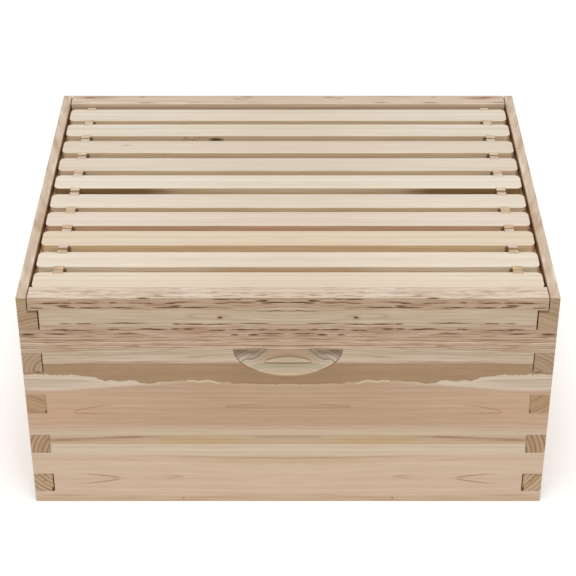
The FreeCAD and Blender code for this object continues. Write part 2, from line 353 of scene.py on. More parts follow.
def wood(name, pale, dark, layers, along="X", tone=0.4, broad=0.2, rings=0.0, ring=0.004, lines=0.3,
         fibre=0.2, run=4, wander=1.0, seed=0, mirror=False, marks=None, end_shade=0.8, top=None,
         stain=(0.84, 0.79, 0.74), rough=0.62):
    """Planed wood whose grain follows its growth layers, as a solid texture.

    layers gives the growth layer through a point, as a number that grows from layer to layer.

    The colour goes from pale to dark, or between the two colours of top on faces that look up:
    tone is its mean, and broad (25 mm) and rings (ring apart) are how far patterns move it.
    marks(g, at, colour) adds a piece's own marks, where at holds the point, its growth layer
    and which way its face looks. Then lines (3 mm apart, run of them to the metre) and fibre
    (1 mm) stain it. wander is how far the layers wave, in millimetres, and end_shade darkens
    the end grain. With mirror, the left half has the grain of the right half.
    """
    g = Graph(name)
    place = g.node("ShaderNodeTexCoord", {})
    x, y, z = g.axes(place.outputs["Object"])
    facing = g.axes(place.outputs["Normal"])
    out = g.size(x) if mirror else x

    # the point's places along the grain and in the two directions across it
    order = {"X": (0, 1, 2), "Y": (1, 0, 2), "Z": (2, 0, 1)}[along]
    length, width, depth = ((out, y, z)[axis] for axis in order)
    bend = g.noise(g.mul(length, 4.0), g.mul(width, 9.0), g.add(g.mul(depth, 9.0), seed))
    ripple = g.noise(g.mul(length, 24.0), g.mul(width, 45.0), g.add(g.mul(depth, 45.0), seed))
    waves = g.add(g.mul(bend, wander * 1.6 * MM), g.mul(ripple, wander * 0.5 * MM))
    layer = g.add(layers(g, length, width, depth), waves)

    fibres = g.grain(length, layer, 22, 900, seed, detail=2)
    thin = g.grain(length, layer, run, 330, seed + 5, detail=2)
    wide = g.grain(length, layer, 2, 42, seed + 9)
    shade = g.add(tone, g.mul(wide, broad))
    late = 0.0
    if rings:
        phase = g.math("FRACT", g.math("DIVIDE", layer, ring))
        late = g.mul(g.step(phase, 0.3, 0.88), g.step(phase, 1.0, 0.9), rings)
        shade = g.add(shade, g.mul(late, g.add(1.0, g.mul(thin, 0.5))))
    shade = g.clamp(shade)
    colour = g.mix(shade, pale, dark)
    upward = g.step(facing[2], 0.45, 0.65)
    if top:
        colour = g.cover(colour, g.mix(shade, *top), upward)
    if marks:
        at = SimpleNamespace(x=x, y=y, z=z, out=out, layer=layer, up=upward)
        at.upright = g.sub(1.0, upward)
        at.sideways = g.step(g.size(facing[1]), 0.6, 0.9)
        colour = marks(g, at, colour)
    streak = g.clamp(g.add(0.35, g.mul(thin, lines), g.mul(fibres, fibre)))
    colour = g.tint(colour, g.mix(streak, STREAK_CLEAR, stain + (1.0,)))

    across = g.step(g.size(facing[order[0]]), 0.75, 0.95)
    cut = end_grain(g, colour, dark, end_shade, (x, y, z), thin, late)
    planed(g, g.cover(colour, cut, across), rough, fibres, thin)
    return g.material


def figure(g, at, colour, seed, dark, pale, strength):
    """Faint streaks along the grain, some darker and some paler than the wood round them."""
    streaks = g.grain(at.out, at.layer, 7, 260, seed, detail=3, rough=0.6)
    return g.tones(colour, streaks, (dark, 0.05, 0.8), (pale, -0.05, -0.8), strength)


def chevron(g, x, z, tip_x, tip_z, reach, spread, slope, opens=-1):
    """The pointed tip of a growth layer, in millimetres: it opens towards smaller or larger x."""
    along = g.mul(g.sub(x, tip_x * MM), opens)
    middle = g.add(g.mul(along, slope), tip_z * MM)
    share = g.math("MAXIMUM", g.math("DIVIDE", along, reach * MM), 0.0)
    half = g.mul(g.math("SQRT", share), spread * MM)
    off = g.size(g.sub(g.size(g.sub(z, middle)), half))
    faded = g.step(along, reach * MM, reach * 0.3 * MM)
    return g.mul(g.step(off, 0.0012, 0.0002), g.step(along, -0.001, 0.002), faded)


# ---------------- the front board

FLECK = pigment(91, 52, 2)
KNOT = pigment(96, 62, 38)
LINE = pigment(158, 122, 94)
LINE_PITCH = 0.00245     # distance between the fine brown lines in the top stave
SLANT = 0.56             # the layers of the front board fall by this share of the way into it
SCOOP_SLANT = 0.9        # and by this one round the handhold

# rows of dark flecks in the top stave, by height: (distance from the middle, half length,
# half thickness), in millimetres
FLECK_ROWS = {
    243: ((134, 5, 0.5), (61, 8, 0.5), (48, 4, 0.4)),
    241.3: ((24, 5, 0.8),),
    239.3: ((100, 9, 0.5), (43, 11, 0.5), (11, 12, 0.6)),
    238.2: ((221, 7, 0.6), (205, 4, 0.5), (186, 9, 0.5), (161, 3, 0.5), (142, 6, 0.5),
            (131, 5, 0.5), (111, 4, 0.5), (63, 6, 0.5)),
    235: ((210, 6, 0.9), (105, 5, 0.8)),
    233: ((234, 5, 0.5), (204, 6, 0.6), (184, 8, 0.6), (155, 9, 0.5), (111, 11, 0.7), (87, 11, 0.6)),
    230.2: ((13, 12, 0.4),),
    215.5: ((208, 4, 0.4), (192, 6, 0.5), (151, 15, 0.5), (31, 12, 0.5)),
    214.2: ((104, 4, 0.5), (88, 12, 0.5), (66, 12, 0.4)),
    208.6: ((213, 6, 0.5), (164, 5, 0.5), (125, 13, 0.6), (105, 3, 0.8), (95, 5, 0.6), (42, 10, 0.6),
            (24, 4, 0.5), (6, 4, 0.5)),
    207.5: ((198, 12, 0.5), (67, 7, 0.7)),
    203.8: ((244, 6, 0.5), (217, 9, 0.5), (151, 9, 0.5), (15, 10, 0.5)),
    202.5: ((50, 4, 0.5), (32, 4, 1.0)),
}
FLECKS = [(x, z, long, thick) for z, row in FLECK_ROWS.items() for x, long, thick in row]

# colours of the top stave's layers, by the height in millimetres where they meet the front face
TAN = pigment(170, 136, 106)
TOP_LAYERS = shown((
    (169.3, (166, 138, 110)), (170.6, (188, 164, 138)), (172, (202, 182, 156)), (177.5, (200, 181, 158)),
    (180, (185, 165, 143)), (183, (197, 178, 155)), (185.2, (190, 167, 142)), (187.5, (207, 184, 159)),
    (190.3, (189, 161, 134)), (193.5, (211, 189, 163)), (196.3, (180, 152, 126)), (198.5, (201, 176, 152)),
    (200.5, (188, 161, 136)), (202.6, (200, 174, 150)), (205.5, (183, 156, 131)), (209, (184, 156, 130)),
    (211.6, (191, 167, 142)), (215, (193, 173, 148)), (228, (195, 175, 150)), (233, (186, 161, 135)),
    (238.6, (182, 155, 128)), (242.6, (188, 164, 139)), (244.6, (146, 114, 88)),
))
# colours in the handhold, by the height in millimetres where a layer meets the front face
SCOOP_LAYERS = shown((
    (150, (200, 184, 157)), (158, (214, 196, 168)), (162.3, (224, 203, 171)), (162.8, (152, 114, 84)),
    (163.4, (214, 182, 152)), (168.6, (220, 188, 158)), (169.9, (216, 198, 170)), (170.3, (134, 106, 80)),
    (171.2, (188, 172, 150)), (173, (194, 178, 156)), (174.4, (152, 131, 111)), (175.8, (180, 162, 142)),
    (177.3, (126, 106, 89)), (178.8, (164, 147, 127)), (180.4, (122, 102, 85)), (182.4, (152, 134, 114)),
    (184, (126, 107, 88)), (186, (140, 122, 100)),
))


def scoop_layers(g, at, depth):
    """The layers that the handhold cuts: they dip near its corners, and are greyer low down there."""
    x = at.out
    level = g.sub(at.z, g.mul(depth, SCOOP_SLANT))
    dip = g.mul(g.between(x, 0.0295, 0.032, 0.0105), g.step(level, 0.18, 0.168), 3.4 * MM)
    level = g.add(level, g.mul(g.grain(x, at.z, 70, 250, 3), 0.35 * MM), dip)
    grey = g.mul(g.step(x, 0.016, 0.03), g.step(level, 0.17, 0.1696))
    return g.cover(g.bands(level, SCOOP_LAYERS), pigment(190, 174, 150), grey, 0.85)


def scoop_foot(g, at, colour):
    """Plain wood at the handhold's lower edge, under a curved seam that is dark in its middle."""
    x, z = at.out, at.z
    near = g.math("MINIMUM", x, 0.022)
    seam = g.sub(z, g.mul(near, near, 2.5))
    lines = g.grain(x, z, 9, 500, 5, detail=2)
    share = g.math("MULTIPLY_ADD", lines, 0.6, 0.4, clamp=True)
    low = g.mix(share, pigment(192, 177, 152), pigment(168, 152, 128))
    low = g.cover(low, pigment(196, 172, 140), g.step(z, 0.162, 0.157), 0.5)
    colour = g.cover(colour, low, g.step(seam, 0.166, 0.1651))
    dark = g.mul(g.between(seam, 0.1652, 0.1657, 0.3 * MM), g.step(x, 0.024, 0.019))
    return g.cover(colour, pigment(104, 66, 34), dark, 0.95)


def scoop_marks(g, at, colour):
    """The wood inside the front board's handhold, and the shadow along its rim."""
    depth = g.add(at.y, HALF_WIDTH)
    inside = scoop_foot(g, at, scoop_layers(g, at, depth))
    across = g.step(at.out, SCOOP_HALF_WIDTH + 4 * MM, SCOOP_HALF_WIDTH + 1.5 * MM)
    tall = g.between(at.z, SCOOP_LEDGE - SCOOP_DROP - 1.4 * MM, SCOOP_LEDGE + 0.3 * MM, 0.5 * MM)
    place = g.mul(across, tall, g.step(depth, SCOOP_CUT + 2 * MM, SCOOP_CUT + 1 * MM))
    colour = g.cover(colour, inside, place, g.step(depth, 0.4 * MM, 0.8 * MM))
    rim = g.mul(place, g.between(depth, 0.3 * MM, 0.6 * MM, 0.2 * MM), g.step(at.z, 0.157, 0.163))
    return g.cover(colour, pigment(112, 88, 62), rim, 0.75)


def stave_lines(g, at, colour):
    """Fine brown lines and dashes along the layers of the top stave's face."""
    x, layer = at.out, at.layer
    calm = g.between(layer, 0.2165, 0.2295, 0.002)
    wild = g.step(layer, 0.181, 0.188)
    wavy = g.add(layer, g.mul(g.grain(x, layer, 85, 240, 16), 0.45 * MM))
    dashes = g.step(g.grain(x, wavy, 18, 620, 12, detail=2), 0.2, 0.5)
    strength = g.math("MAXIMUM", g.sub(g.add(0.45, g.mul(wild, 0.4)), g.mul(calm, 0.68)), 0.0)
    colour = g.cover(colour, pigment(150, 111, 78), dashes, strength, at.upright, 0.8)
    hairs = g.step(g.grain(x, wavy, 30, 820, 14), 0.1, 0.45)
    rich = g.add(g.between(layer, 0.186, 0.213, 0.003), g.between(layer, 0.2315, 0.242, 0.002))
    fine = g.add(0.24, g.mul(rich, 0.42), g.mul(calm, -0.12))
    colour = g.cover(colour, pigment(148, 108, 76), hairs, fine, at.upright)
    phase = g.math("FRACT", g.math("DIVIDE", wavy, LINE_PITCH))
    drawn = g.step(g.grain(x, layer, 13, 350, 15, detail=2), -0.4, 0.2)
    line = g.mul(g.step(phase, 0.3, 0.55), g.step(phase, 0.9, 0.65))
    ruled = g.mul(line, drawn, g.between(layer, 0.186, 0.206, 0.004))
    return g.cover(colour, pigment(138, 98, 66), ruled, at.upright, 0.62)


def front_rim_marks(g, at, colour):
    """Brown dashes on the front board's rim, most of them near its outer edge."""
    x, y = at.out, at.y
    bent = g.add(y, g.mul(g.grain(x, y, 60, 200, 18), 0.8 * MM))
    dashes = g.step(g.grain(x, bent, 62, 720, 17, detail=2), 0.14, 0.42)
    strength = g.add(0.45, g.mul(g.step(y, -0.19, -0.2055), 0.45))
    colour = g.cover(colour, pigment(152, 116, 86, TOP_LIGHT), dashes, strength, at.up)
    dark, pale = pigment(226, 200, 180, TOP_LIGHT), pigment(238, 224, 202, TOP_LIGHT)
    broad = g.grain(x, y, 9, 170, 19, detail=2)
    return g.tones(colour, broad, (dark, 0.1, 0.6), (pale, -0.1, -0.6), at.up, 0.5)


def top_stave_marks(g, at, colour):
    """Layers, lines, rows of dark flecks and a small knot of the front board's top stave."""
    x, layer = at.out, at.layer
    soft = g.add(layer, g.mul(g.grain(x, layer, 14, 160, 2), MM))
    colour = g.cover(colour, g.bands(soft, TOP_LAYERS), at.upright, 0.9)
    cream = g.step(g.grain(x, layer, 16, 430, 31), 0.1, 0.55)
    colour = g.cover(colour, pigment(207, 188, 162), cream, 0.4)
    colour = stave_lines(g, at, colour)
    colour = front_rim_marks(g, at, colour)

    near = g.add(x, g.mul(g.grain(x, layer, 60, 300, 1), 2.5 * MM))
    level = g.add(layer, g.mul(g.grain(x, layer, 70, 260, 6, detail=2), 0.8 * MM))
    fleck = g.step(g.spots(near, level, FLECKS), 1.6, 0.85)
    ragged = g.clamp(g.add(0.95, g.mul(g.grain(x, layer, 170, 900, 3), 0.4)))
    on_rim = g.sub(1.0, g.mul(at.up, 0.75))
    colour = g.cover(colour, FLECK, fleck, ragged, on_rim)
    eye = g.size(g.sub(g.spots(near, level, [(74, 223.4, 21, 3.0)]), 0.85))
    colour = g.cover(colour, LINE, g.step(eye, 0.3, 0.0), 0.4)
    knot = g.spots(x, layer, [(63.5, 221.8, 2.6, 1.7)])
    colour = g.cover(colour, TAN, g.step(knot, 2.6, 0.5), 0.5)
    colour = g.cover(colour, KNOT, g.step(knot, 1.1, 0.4))
    return scoop_marks(g, at, colour)


# the lower edge of the middle stave's brown band, and of the sapwood under it, by distance
# from the box's middle, in millimetres
BAND_EDGE = ((0, 145.6), (24, 145.4), (45, 146.2), (67, 148.0), (69, 149.6), (95, 150.2), (120, 148.2),
             (134, 146.0), (142, 147.0), (145, 149.4), (174, 149.4), (187, 154.0), (203, 156.2),
             (252.4, 157.2))
WEDGE_EDGE = ((0, 145.0), (95, 145.2), (128, 144.6), (161, 142.4), (194, 139.4), (228, 137.4),
              (252.4, 139.2))
MIDDLE_LAYERS = shown((
    (72.6, (192, 168, 128)), (75, (194, 170, 136)), (78.5, (190, 166, 135)), (82, (190, 170, 140)),
    (84.5, (205, 187, 161)), (89, (203, 183, 157)), (95, (191, 164, 136)), (104, (190, 158, 130)),
    (112, (188, 156, 127)), (118, (193, 162, 134)), (127, (189, 158, 129)), (137, (191, 161, 134)),
    (146, (186, 158, 131)),
))


def lower_streaks(g, at, colour):
    """Brown, golden and grey streaks just over the lower glue line."""
    x, layer = at.out, at.layer
    streaks = g.grain(x, layer, 11, 420, 4, detail=2)
    low = g.mul(g.between(layer, 0.0764, 0.0812, 0.0012), g.step(streaks, -0.2, 0.6))
    strength = g.add(0.3, g.mul(g.step(x, 0.09, 0.14), 0.35))
    colour = g.cover(colour, pigment(154, 118, 88), low, strength)
    sloping = g.add(layer, g.mul(x, 0.03))
    red = g.mul(g.between(sloping, 0.0845, 0.0862, 0.0012), g.between(x, 0.15, 0.222, 0.012))
    colour = g.cover(colour, pigment(160, 122, 94), red, g.step(streaks, -0.5, 0.4), 0.75)
    gold = g.mul(g.between(layer, 0.0735, 0.0795, 0.003), g.between(x, 0.055, 0.11, 0.02))
    colour = g.cover(colour, pigment(188, 156, 106), gold, g.step(streaks, -0.7, 0.3), 0.65)
    grey = g.mul(g.between(layer, 0.0805, 0.0825, 0.0012), g.step(x, 0.04, 0.026))
    return g.cover(colour, pigment(160, 142, 120), grey, 0.55)


def brown_band(g, at, colour):
    """The brown band under the upper glue line, with its ragged lower edge."""
    x, z = at.out, at.z
    jag = g.add(g.mul(g.noise(g.mul(x, 110.0), 0.0, 1.0), 1.3 * MM),
                g.mul(g.noise(g.mul(x, 380.0), 0.0, 5.0), 0.9 * MM))
    above = g.sub(z, g.add(g.profile(x, BAND_EDGE, handle="VECTOR"), jag))
    halo = g.add(0.25, g.mul(g.between(x, 0.066, 0.096, 0.002), 0.7))
    colour = g.cover(colour, pigment(205, 188, 158), g.between(above, -0.0016, 0.0, 0.001), halo)
    tilted = g.sub(z, g.mul(g.sub(x, 0.2), 0.01))
    mould = g.mul(g.between(tilted, 0.1496, 0.1502, 0.0007), g.step(x, 0.18, 0.2))
    colour = g.cover(colour, pigment(148, 130, 98), mould, 0.6)

    streaks = g.grain(x, z, 8, 260, 8, detail=2)
    mottle = g.grain(x, z, 75, 35, 21, detail=2)
    share = g.add(g.math("MULTIPLY_ADD", streaks, 0.3, 0.4, clamp=True), g.mul(mottle, 0.2))
    band = g.mix(share, pigment(169, 139, 107), pigment(155, 125, 92))
    band = g.cover(band, pigment(148, 118, 82), g.step(x, 0.075, 0.045), 0.35)
    glue = g.step(g.spots(x, z, [(3, 152.4, 8, 1.5)]), 1.4, 0.5)
    band = g.cover(band, pigment(140, 116, 78), glue, 0.5)
    skin = g.step(g.add(at.y, HALF_WIDTH), 0.0016, 0.0006)
    return g.cover(colour, band, g.step(above, -0.0002, 0.0003), skin)


def middle_stave_marks(g, at, colour):
    """The middle stave's layers, pointed tips, sapwood at both ends, streaks and brown band."""
    x, layer = at.out, at.layer
    colour = g.cover(colour, g.bands(layer, MIDDLE_LAYERS), 0.7)
    blush = g.mul(g.step(x, 0.13, 0.24), g.between(layer, 0.098, 0.134, 0.008), 0.5)
    colour = g.cover(colour, pigment(200, 164, 137), blush)
    dusky = g.mul(g.step(x, 0.16, 0.08), g.between(layer, 0.098, 0.14, 0.006), 0.35)
    colour = g.cover(colour, pigment(176, 144, 113), dusky)
    colour = figure(g, at, colour, 33, pigment(176, 142, 112), pigment(204, 176, 148), 0.3)
    for tip in ((207.6, 112.0, 52, 6.0, 0.092), (60.8, 118.0, 50, 2.8, 0.024)):
        colour = g.cover(colour, pigment(164, 126, 94), chevron(g, x, layer, *tip), 0.7)
    core = g.step(g.spots(x, layer, [(24, 118.2, 34, 2.0)]), 1.3, 0.5)
    colour = g.cover(colour, pigment(172, 138, 104), core, 0.5)
    colour = lower_streaks(g, at, colour)

    sapwood = g.grain(x, layer, 5, 330, 7)
    wedge = g.mix(g.step(sapwood, -0.6, 0.3), pigment(188, 170, 145), pigment(214, 198, 180))
    over = g.step(g.sub(layer, g.profile(x, WEDGE_EDGE)), -0.002, 0.002)
    colour = g.cover(colour, wedge, over, g.step(x, 0.095, 0.145), 0.95)
    return scoop_marks(g, at, brown_band(g, at, colour))


BOTTOM_LAYERS = shown((
    (0, (198, 171, 143)), (3, (196, 168, 140)), (8, (203, 178, 152)), (16, (206, 182, 157)),
    (30, (204, 180, 154)), (42, (207, 184, 159)), (52, (203, 177, 150)), (56.5, (200, 171, 142)),
    (60.5, (205, 187, 163)), (66, (206, 189, 166)), (72.6, (204, 186, 163)),
))


def bottom_stave_marks(g, at, colour):
    """Pale sapwood at the top of the bottom stave, a brown line under it and two pointed tips."""
    x, layer = at.out, at.layer
    colour = g.cover(colour, g.bands(layer, BOTTOM_LAYERS), 0.8)
    colour = figure(g, at, colour, 35, pigment(190, 160, 132), pigment(216, 196, 172), 0.35)
    sloping = g.sub(layer, g.mul(x, 0.018))
    tan = g.mul(g.step(sloping, 0.044, 0.053), g.step(sloping, 0.0565, 0.0555), g.step(x, 0.12, 0.05))
    colour = g.cover(colour, pigment(192, 161, 132), tan, 0.5)
    line = g.mul(g.between(sloping, 0.0548, 0.0556, 0.0008), g.step(x, 0.17, 0.06))
    colour = g.cover(colour, pigment(170, 136, 106), line, 0.55)
    for tip in ((169.7, 29.4, 50, 7.5, -0.03), (166.0, 29.4, 36, 5.0, -0.03)):
        colour = g.cover(colour, pigment(170, 130, 100), chevron(g, x, layer, *tip, opens=1), 0.65)
    for share in (1.0, 0.6, 0.2):
        tip = chevron(g, x, layer, 103.0 + 3 * (1 - share), 32.0, 26, 3.6 * share, -0.01, opens=1)
        colour = g.cover(colour, pigment(184, 150, 124), tip, 0.35)
    low = g.spots(x, layer, [(219, 7.5, 34, 1.8), (98, 1.6, 24, 1.2), (29, 8.0, 40, 1.4),
                             (70, 5.0, 60, 1.1)])
    colour = g.cover(colour, pigment(176, 140, 106), g.step(low, 1.2, 0.2), 0.45)
    pin = g.step(g.spots(x, layer, [(104.5, 3.6, 1.2, 0.9)]), 1.5, 0.5)
    return g.cover(colour, KNOT, pin, 0.6)


def front_woods():
    face = slanting(-HALF_WIDTH, SLANT)
    cap = pigment(228, 210, 192, TOP_LIGHT), pigment(204, 178, 155, TOP_LIGHT)
    return {
        "top": wood("front_top_stave", pigment(187, 166, 138), TAN, face, lines=0.7, fibre=0.5, run=12,
                    seed=1, mirror=True, marks=top_stave_marks, wander=1.1, top=cap),
        "middle": wood("front_middle_stave", pigment(200, 171, 143), pigment(170, 138, 108), face,
                       lines=0.45, fibre=0.4, seed=2, mirror=True, marks=middle_stave_marks, wander=0.8),
        "bottom": wood("front_bottom_stave", pigment(211, 188, 163), pigment(184, 154, 124), face,
                       lines=0.45, fibre=0.4, seed=3, mirror=True, marks=bottom_stave_marks, wander=0.8),
    }


# ---------------- the other boards

# spots on the back board's rim: their colour, their share of it, the distances where they begin
# and are full, and (distance from the middle, y, half length, half thickness), in millimetres
BACK_RIM_SPOTS = (
    ((174, 141, 114), 0.8, 1.2, 0.3, ((217, 200.2, 27, 4.4),)),
    ((138, 98, 68), 0.85, 1.6, 0.3, (
        (214, 197.6, 11, 0.9), (222, 200.8, 6, 1.3), (240, 189.4, 14, 1.2), (158, 188.6, 9, 1.1),
        (104, 188.8, 7, 0.8))),
    ((146, 122, 104), 0.8, 1.4, 0.4, (
        (46, 201.5, 7, 1.4), (58, 199, 5, 0.9), (164, 202, 4, 1.2), (52, 196.6, 9, 0.8))),
)


def back_marks(g, at, colour):
    """Streaks and spots on the back board's rim, and its shaded inner face over the frames."""
    streaks = g.grain(at.x, at.y, 14, 500, 3, detail=2)
    edge = g.mul(g.step(at.y, HALF_WIDTH - 9 * MM, HALF_WIDTH - 2 * MM), g.step(streaks, 0.0, 0.6))
    colour = g.cover(colour, pigment(146, 114, 88, TOP_LIGHT), edge, at.up, 0.8)
    for shade, share, outline, core, spots in BACK_RIM_SPOTS:
        mark = g.step(g.spots(g.size(at.x), at.y, spots), outline, core)
        colour = g.cover(colour, pigment(*shade, TOP_LIGHT), mark, at.up, share)
    dark, pale = pigment(220, 190, 170, TOP_LIGHT), pigment(230, 216, 198, TOP_LIGHT)
    broad = g.grain(at.x, at.y, 10, 200, 8, detail=2)
    colour = g.tones(colour, broad, (dark, 0.0, 0.5), (pale, -0.1, -0.6), at.up, 0.5)

    inner_side = g.step(at.y, HALF_WIDTH - THICKNESS + 1.05 * MM, HALF_WIDTH - THICKNESS + 0.55 * MM)
    lower = g.step(at.z, RIM - 0.5 * MM, RIM - 8.5 * MM)
    shadow = g.mix(lower, pigment(190, 164, 141, GAP_LIGHT), pigment(150, 123, 100, GAP_LIGHT))
    return g.cover(colour, shadow, inner_side, at.upright, 0.9)


def back_woods():
    cap = pigment(222, 202, 183, TOP_LIGHT), pigment(198, 173, 150, TOP_LIGHT)
    pale, dark = pigment(203, 176, 148), pigment(168, 134, 104)
    return {
        "top": wood("back_top_stave", pale, dark, round_heart(0.26, 0.16, 0.02, 0.03), rings=0.3,
                    ring=0.0046, seed=11, marks=back_marks, top=cap),
        "middle": wood("back_middle_stave", pigment(208, 184, 156), dark,
                       round_heart(0.235, 0.115, -0.03, 0.02), rings=0.35, ring=0.0052, seed=12,
                       wander=1.6),
        "bottom": wood("back_bottom_stave", pigment(212, 190, 163), pigment(178, 146, 114),
                       round_heart(0.3, 0.02, 0.03, -0.02), rings=0.25, ring=0.0038, seed=13),
    }


def finger_marks(g, at, colour):
    """Painted shade in the open seams, torn grain, brown spots and chips on the fingers of an end board."""
    # painted shade on the faces inside the open seams beside the fingers
    seam = g.mul(g.step(at.out, FINGER_INNER + 0.45 * MM, FINGER_INNER + 0.25 * MM),
                 g.step(g.size(at.y), HALF_WIDTH - THICKNESS + 0.3 * MM, HALF_WIDTH - THICKNESS + 0.9 * MM))
    closed = g.between(at.z, 0.055, 0.14, 0.002)
    seam_shade = g.mul(seam, at.upright, g.sub(1.0, closed))
    colour = g.cover(colour, pigment(110, 62, 26), seam_shade, 0.9)
    torn = g.step(g.spots(at.out, at.z, [(247.5, 17.0, 5.5, 4.0)]), 1.3, 0.5)
    colour = g.cover(colour, pigment(208, 184, 156), torn, at.sideways, 0.45)
    brown = g.spots(at.out, at.z, [(243.7, 30.3, 1.7, 1.0), (241.0, 34.2, 2.4, 0.8),
                                   (247.0, 33.0, 1.8, 0.9), (241.5, 26.6, 1.5, 1.2)])
    colour = g.cover(colour, pigment(134, 96, 66), g.step(brown, 1.5, 0.3), at.sideways, 0.6)
    chips = g.spots(at.out, at.z, [(234.3, 15.5, 1.3, 3.4), (234.0, 112.6, 0.7, 2.4),
                                   (238.0, 159.6, 3.6, 1.0)])
    return g.cover(colour, pigment(76, 48, 24), g.step(chips, 1.3, 0.5), at.sideways, 0.95)


def end_marks(g, at, colour):
    """Slanting figure on the rim of an end board, its shaded face behind the lugs, and fingers."""
    slant = g.sub(at.y, g.mul(at.out, 2.6))
    dark, pale = pigment(188, 157, 131, TOP_LIGHT), pigment(234, 217, 199, TOP_LIGHT)
    broad = g.grain(slant, at.out, 30, 60, 2, detail=3)
    colour = g.tones(colour, broad, (dark, 0.0, 0.4), (pale, -0.05, -0.5), at.up, 0.75)
    behind = g.mul(g.between(at.out, FINGER_INNER - 0.55 * MM, THIN_WALL_INNER + 0.125 * MM, 0.1 * MM),
                   g.between(at.z, 0.2295, 0.24, 0.003))
    colour = g.cover(colour, pigment(90, 52, 16, GAP_LIGHT), behind, at.upright, 0.9)
    colour = g.cover(colour, pigment(228, 196, 158), g.step(at.z, 0.042, 0.03), 0.4)
    golden = g.mul(g.between(at.z, 0.111, 0.131, 0.004), at.sideways)
    colour = g.cover(colour, pigment(200, 160, 112), golden, 0.55)
    return finger_marks(g, at, colour)


def end_woods(side, sign):
    """Three staves whose growth rings show on the fingers at the corners."""
    cap = pigment(220, 202, 180, TOP_LIGHT), pigment(200, 175, 150, TOP_LIGHT)
    # by level: the pale and the dark colour, the heart, the rings' pitch and their strength
    looks = {
        "bottom": (pigment(218, 186, 148), pigment(168, 131, 94),
                   round_heart(0.205, 0.064, 0.025 * sign, 0.02), 0.0045, 0.36),
        "middle": (pigment(210, 183, 153), pigment(170, 136, 103),
                   round_heart(0.226, 0.152, 0.0, 0.035 * sign), 0.0044, 0.22),
        "top": (pigment(210, 182, 148), pigment(168, 134, 99),
                round_heart(0.205, 0.1, 0.02 * sign, 0.0), 0.0036, 0.2),
    }
    woods = {}
    for order, level in enumerate(LEVELS):
        pale, dark, heart, pitch, strength = looks[level]
        woods[level] = wood("%s_%s_stave" % (side, level), pale, dark, heart, along="Y",
                            rings=strength, ring=pitch, seed=20 + 3 * sign + order, mirror=True,
                            wander=0.9, top=cap, marks=end_marks)
    return woods


# ---------------- the frames

# how each frame shows, from the front of the box to the back: the top of its top bar, the
# side of its top bar, the tops of its end bars, and how strongly painted shade darkens the side downwards
BAR_LOOKS = (
    ((226, 210, 189), (180, 155, 126), (212, 184, 150), 0.3),
    ((230, 216, 198), (195, 169, 144), (216, 188, 154), 0.05),
    ((226, 208, 184), (183, 151, 117), (222, 205, 183), 0.05),
    ((227, 210, 193), (161, 128, 101), (214, 187, 155), 0.3),
    ((227, 213, 196), (168, 144, 116), (218, 197, 170), 0.3),
    ((229, 217, 200), (180, 155, 128), (226, 210, 190), 0.2),
    ((223, 208, 190), (176, 151, 124), (220, 196, 174), 0.3),
    ((222, 206, 188), (173, 147, 120), (223, 204, 181), 0.3),
    ((222, 209, 191), (173, 145, 117), (219, 200, 176), 0.3),
    ((223, 210, 193), (169, 143, 115), (213, 191, 164), 0.3),
)


def bar_marks(name, depth_shade):
    """Painted shade and marks on one frame's top bar: its side darkens downwards, most of all beside the
    end bars.
    """
    def marks(g, at, colour):
        warm = g.mul(g.step(at.out, 0.16, 0.02), at.up, 0.4)
        colour = g.cover(colour, g.tint(colour, (0.9, 0.86, 0.8, 1.0)), warm)
        dark, pale = g.tint(colour, (0.9, 0.86, 0.82, 1.0)), g.tint(colour, (1.05, 1.05, 1.05, 1.0))
        colour = figure(g, at, colour, 37, dark, pale, 0.6)
        # painted shade: the bar's side darkens downwards into the gap between the bars
        gap_shade = g.mul(g.step(at.z, BAR_TOP, BAR_TOP - 9.7 * MM), at.upright)
        colour = g.cover(colour, pigment(92, 66, 44, GAP_LIGHT), gap_shade, depth_shade)
        # painted shadow on the bar's side beside each end bar, a little below its top
        beside = g.between(at.out, END_BAR_INNER - 2.1 * MM, END_BAR_INNER + 0.2 * MM, 0.8 * MM)
        corner = g.mul(beside, g.step(at.z, BAR_TOP - 0.7 * MM, BAR_TOP - 2.5 * MM), at.upright)
        colour = g.cover(colour, pigment(80, 54, 34, GAP_LIGHT), corner, 0.75)
        if name in OWN_MARKS:
            # the y of the bar's front side, and 1 near that side, under the bar's top
            at.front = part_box(name + "_top_bar")[0].y
            at.near = g.mul(g.step(at.y, at.front + 3.0 * MM, at.front + 1.2 * MM),
                            g.step(at.z, BAR_TOP - 0.3 * MM, BAR_TOP - 1.1 * MM))
            colour = OWN_MARKS[name](g, at, colour)
        return colour
    return marks


def brown_side(g, at, colour):
    """A browner middle on the front side of a bar."""
    brown = g.mul(at.near, g.step(at.out, 0.1, 0.05), 0.6)
    return g.cover(colour, pigment(164, 132, 98, GAP_LIGHT), brown)


def smudge(g, at, colour):
    """A faint grey knot on the top of a bar, near its left end."""
    spot = g.spots(at.x, at.y, [(-174, at.front / MM + 17.0, 5.0, 3.0)])
    return g.cover(colour, pigment(178, 160, 138, TOP_LIGHT), g.step(spot, 1.6, 0.2), 0.35)


def dark_side(g, at, colour):
    """Dark heartwood on the front side of a bar, near both lugs."""
    edge = g.add(at.out, g.mul(g.grain(at.out, at.z, 30, 300, 2), 0.012))
    fringe = g.mul(at.near, g.step(edge, 0.02, 0.12), 0.35)
    colour = g.cover(colour, pigment(150, 116, 80, GAP_LIGHT), fringe)
    return g.cover(colour, pigment(116, 84, 54, GAP_LIGHT), at.near, g.step(edge, 0.105, 0.15))


